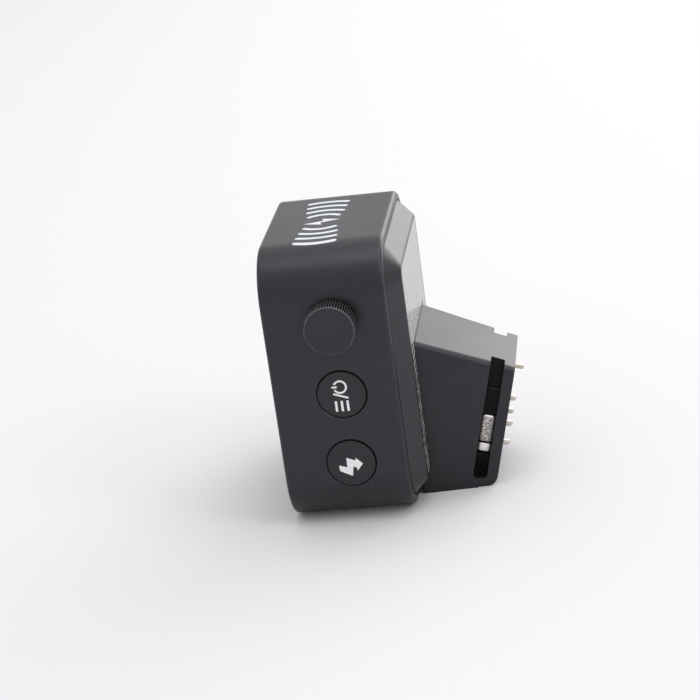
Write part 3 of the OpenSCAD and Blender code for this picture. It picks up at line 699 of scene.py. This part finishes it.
CAP_Y = (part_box("mode_button")[0].y - OY) * 1000 - CAP_OUT
PW = (11.95, 26.12)
stroke = 0.34
power = shifted(arc_band(1.25 - stroke, 1.25, math.radians(-154), math.radians(154), 40, False), *PW)
face_print("print_power_ring", [power], "mode_button", MATS["white_ink"])
face_print("print_power_bar", [bar((10.5, 26.14), (11.42, 26.14), stroke)], "mode_button", MATS["white_ink"])
face_print("print_slash", [bar((10.62, 24.94), (13.2, 24.0), stroke)], "mode_button", MATS["white_ink"])
face_print(
    "print_menu_bars",
    [bar((x, 21.6), (x, 23.55), 0.42) for x in (10.9, 11.92, 12.94)],
    "mode_button",
    MATS["white_ink"],
)
BOLT = [(9.87, 11.42), (11.26, 10.96), (11.31, 12.8), (12.86, 12.12), (12.92, 12.64), (14.1, 11.48), (12.99, 10.16), (13.0, 10.7), (12.36, 11.06), (12.04, 9.26), (9.89, 10.38)]
face_print("print_test_bolt", [BOLT], "test_button", MATS["white_ink"])


def top_print():
    """Generic radio and flash pictogram on the top face."""
    bm = bmesh.new()
    cx, cy = 9.95, 19.6
    polys = []
    polys.append([(cx - u, cy + v) for u, v in [(-3.25, 0.7), (0.1, 1.75), (-0.25, 0.45), (3.25, -0.6), (-0.1, -1.75), (0.25, -0.45)]])
    for k, (r, half) in enumerate(((4.3, 38), (6.9, 27), (9.5, 20.5), (12.1, 16.5))):
        for sg in (1, -1):
            c = 90 * sg
            band = arc_band(r - 0.48, r + 0.48, math.radians(c - half), math.radians(c + half), 20, True)
            polys.append([(cx + u, cy + v) for u, v in band])

    def over_corner(u, v, t):
        """The outer arcs bend down over the rounded edge of the housing."""
        drop = TOP_R - math.sqrt(TOP_R**2 - (TOP_R - v) ** 2) if v < TOP_R else 0
        return S(u, v, t - drop + min(0.006, 0.5 * drop))

    for pts in polys:
        poly_prism(bm, pts, over_corner, H - PRINT - 0.002, H - 0.0005)
    return link("print_radio_symbol", bm, MATS["cool_ink"], "slab", smooth=0)


top_print()


# ---------------------------------------------------------------- earthing springs
def path_height(s):
    """Height of the strip off the neck wall at distance s from the plate's rear edge, in mm."""
    keys = [(4.85, 0.0), (4.95, 0.22), (5.2, 0.4), (5.8, 0.46), (6.35, 0.4), (6.6, 0.24), (6.68, 0.0), (6.92, 0.0), (7.0, 0.2), (7.25, 0.29), (8.2, 0.31), (10.8, 0.31), (11.6, 0.28), (11.9, 0.18), (12.05, 0.02)]
    for (s0, h0), (s1, h1) in zip(keys, keys[1:]):
        if s <= s1:
            f = (s - s0) / (s1 - s0)
            return h0 + (h1 - h0) * f
    return keys[-1][1]


def make_ground(sg, node, body):
    bm = bmesh.new()
    n0, n1 = -GROOVE_N + 0.16, -FOOT_T - 0.16
    nm, hw = (n0 + n1) / 2, (n1 - n0) / 2
    ss = [4.85 + (12.05 - 4.85) * i / 90 for i in range(91)]
    ws = [-1, -0.96, -0.88, -0.6, -0.3, 0, 0.3, 0.6, 0.88, 0.96, 1]

    def width(s):
        """Rounded corners at both ends of the tab, and at the upper end."""
        w = hw
        for end, r in ((4.85, 0.45), (12.05, 0.3)):
            d = abs(s - end)
            if d < r:
                w = hw - r + math.sqrt(max(0, r * r - (r - d) ** 2))
        if 6.62 < s < 7.02:
            w = hw - 0.12
        return w

    tops, bots = [], []
    for s in ss:
        h = path_height(s)
        w = width(s)
        rt, rb = [], []
        for k in ws:
            drop = 0.07 * max(0, (abs(k) - 0.86) / 0.14) ** 2
            crown = 0.03 * (1 - k * k)
            rt.append(bm.verts.new(F(nm + k * w, YC + sg * (NECK / 2 + h + crown - drop), s)))
            rb.append(bm.verts.new(F(nm + k * w, YC + sg * (NECK / 2 + h - 0.17 + drop * 0.3), s)))
        tops.append(rt)
        bots.append(rb)
    m = len(ws)
    for i in range(len(ss) - 1):
        # Painted shade: the dip between the tab and the strip gets the near-black material; the rest is speckled
        # nickel or plain nickel
        speck = 2 if 6.6 < ss[i] < 6.96 else 1 if 6.96 <= ss[i] < 11.7 else 0
        for k in range(m - 1):
            f = bm.faces.new([tops[i][k], tops[i][k + 1], tops[i + 1][k + 1], tops[i + 1][k]])
            f.material_index = speck
            bm.faces.new([bots[i][k + 1], bots[i][k], bots[i + 1][k], bots[i + 1][k + 1]])
        bm.faces.new([tops[i][0], tops[i + 1][0], bots[i + 1][0], bots[i][0]])
        bm.faces.new([tops[i][-1], bots[i][-1], bots[i + 1][-1], tops[i + 1][-1]])
    for e in (0, -1):
        for k in range(m - 1):
            bm.faces.new([tops[e][k], tops[e][k + 1], bots[e][k + 1], bots[e][k]])
    o = link("earth_strip_" + node[-4:].strip("_"), bm, [MATS["nickel"], MATS["nickel_speckled"], MATS["painted_shade_black"]], body, smooth=40)
    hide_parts(node)


make_ground(-1, "ground_spring_near", "ground_spring_near")
make_ground(1, "ground_spring_far", "ground_spring_far")


# ---------------------------------------------------------------- small parts on the far side
def usb_pads():
    bm = bmesh.new()
    for side in (-1, 1):
        for i in range(12):
            z = 18 + (i - 5.5) * 0.5
            x = 7.03 + side * 0.35
            x0, x1 = (x - 0.004, x + 0.02) if side > 0 else (x - 0.02, x + 0.004)
            long = 41.35 if i in (0, 11) else 41.1
            pts = [(z - 0.13, 38.2), (z + 0.13, 38.2), (z + 0.13, long), (z - 0.13, long)]
            poly_prism(bm, pts, lambda u, v, t: S(t, v, u), x0, x1)
    return link("usb_c_pads", bm, MATS["contact_gold"], "slab", smooth=0)


usb_pads()


def jack_ring():
    bm = bmesh.new()
    n = 64
    prof = [(1.3, W - 0.4), (1.3, W - 0.1), (1.36, W - 0.05), (1.78, W - 0.05), (1.84, W - 0.09), (1.84, W - 0.13), (1.5, W - 0.16)]
    rings = [[bm.verts.new(S(8 + r * math.cos(2 * math.pi * i / n), y, 30 + r * math.sin(2 * math.pi * i / n))) for i in range(n)] for r, y in prof]
    for a, b in zip(rings, rings[1:] + rings[:1]):
        for i in range(n):
            j = (i + 1) % n
            bm.faces.new([a[i], a[j], b[j], b[i]])
    return link("sync_jack_ring", bm, MATS["nickel"], "slab", smooth=40)


jack_ring()

# ---------------------------------------------------------------- materials on the carried-over CAD nodes
for name, o in nodes.items():
    o.data.materials.clear()
    o.data.materials.append(MATS[SLOT_OF[name]])

# ---------------------------------------------------------------- floor, world and lights
scene = bpy.context.scene
scene.view_settings.view_transform = "Standard"
scene.view_settings.look = "None"
scene.view_settings.exposure = 0
scene.view_settings.gamma = 1

fb = bmesh.new()
n = 96
mid = fb.verts.new((0, 0, 0))
ring = [fb.verts.new((2.6 * math.cos(2 * math.pi * i / n), 2.6 * math.sin(2 * math.pi * i / n), 0)) for i in range(n)]
for i in range(n):
    fb.faces.new([mid, ring[i], ring[(i + 1) % n]])
fm = bpy.data.meshes.new("studio_floor")
fb.to_mesh(fm)
fb.free()
floor = bpy.data.objects.new("studio_floor", fm)
scene.collection.objects.link(floor)
m, t, p = new_mat("studio_paper")
v = coords(t)
paper = mix_rgb(t, noise(t, v, 900, 3), (0.69, 0.681, 0.692), (0.71, 0.701, 0.712))
L(t, paper, p.inputs["Base Color"])
p.inputs["Roughness"].default_value = 0.9
p.inputs["Specular IOR Level"].default_value = 0.1
fm.materials.append(m)

world = bpy.data.worlds.new("studio")
scene.world = world
world.use_nodes = True
t = world.node_tree
t.nodes.clear()
out = t.nodes.new("ShaderNodeOutputWorld")
bg = t.nodes.new("ShaderNodeBackground")
tc = t.nodes.new("ShaderNodeTexCoord")
sep = t.nodes.new("ShaderNodeSeparateXYZ")
L(t, tc.outputs["Generated"], sep.inputs[0])
front = N(t, "ShaderNodeMapRange", interpolation_type="SMOOTHSTEP")
front.inputs[1].default_value = 0.3
front.inputs[2].default_value = -0.3
L(t, sep.outputs["Y"], front.inputs[0])
low = N(t, "ShaderNodeMapRange", interpolation_type="SMOOTHSTEP")
low.inputs[1].default_value = 1.0
low.inputs[2].default_value = 0.7
L(t, sep.outputs["Z"], low.inputs[0])
WORLD_BACK, WORLD_DROP = 0.98, 0.2
val = math_node(t, "SUBTRACT", WORLD_BACK, math_node(t, "MULTIPLY", math_node(t, "MULTIPLY", front.outputs[0], low.outputs[0]), WORLD_DROP))
L(t, mix_rgb(t, 1.0, (0.99, 0.98, 1.0), val, "MULTIPLY"), bg.inputs["Color"])
L(t, bg.outputs[0], out.inputs[0])


def softbox(name, azimuth, elevation, dist, w, h, radiance, col=(1, 1, 1)):
    a, e = math.radians(azimuth), math.radians(elevation)
    d = Vector((math.sin(a) * math.cos(e), math.cos(a) * math.cos(e), math.sin(e)))
    lt = bpy.data.lights.new(name, "AREA")
    lt.shape = "RECTANGLE"
    lt.size, lt.size_y = w, h
    lt.energy = radiance * math.pi * w * h
    lt.color = col
    o = bpy.data.objects.new(name, lt)
    scene.collection.objects.link(o)
    o.location = Vector((0, 0, 0.02)) + d * dist
    o.rotation_mode = "QUATERNION"
    o.rotation_quaternion = (-d).to_track_quat("-Z", "Y")
    o.visible_camera = False
    return o


softbox("softbox_back_right", 33, 16, 0.95, 0.84, 0.54, 2.35)
softbox("softbox_key_right", 118, 40, 0.9, 0.26, 0.26, 4.6)
softbox("softbox_back_high", 30, 46, 0.95, 0.8, 0.42, 0.95)
softbox("softbox_right_high", 110, 80, 0.9, 0.6, 0.6, 2.1)

# ---------------------------------------------------------------- camera
FW = Vector((-0.14049426, 0.92995397, -0.33977488))
RIGHT = Vector((0.98611405, 0.10074165, -0.13202349))
DOWN = Vector((-0.08854629, -0.35360533, -0.9311943))
cam_data = bpy.data.cameras.new("camera")
cam_data.sensor_width = 36
cam_data.lens = 110.547
cam_data.clip_start, cam_data.clip_end = 0.01, 20
cam = bpy.data.objects.new("camera", cam_data)
scene.collection.objects.link(cam)
place = S(66.58553, -343.52990, 158.38518)
rot = Matrix((RIGHT, -DOWN, -FW)).transposed().to_4x4()
cam.matrix_world = Matrix.Translation(place) @ rot
scene.camera = cam

bpy.context.view_layer.update()
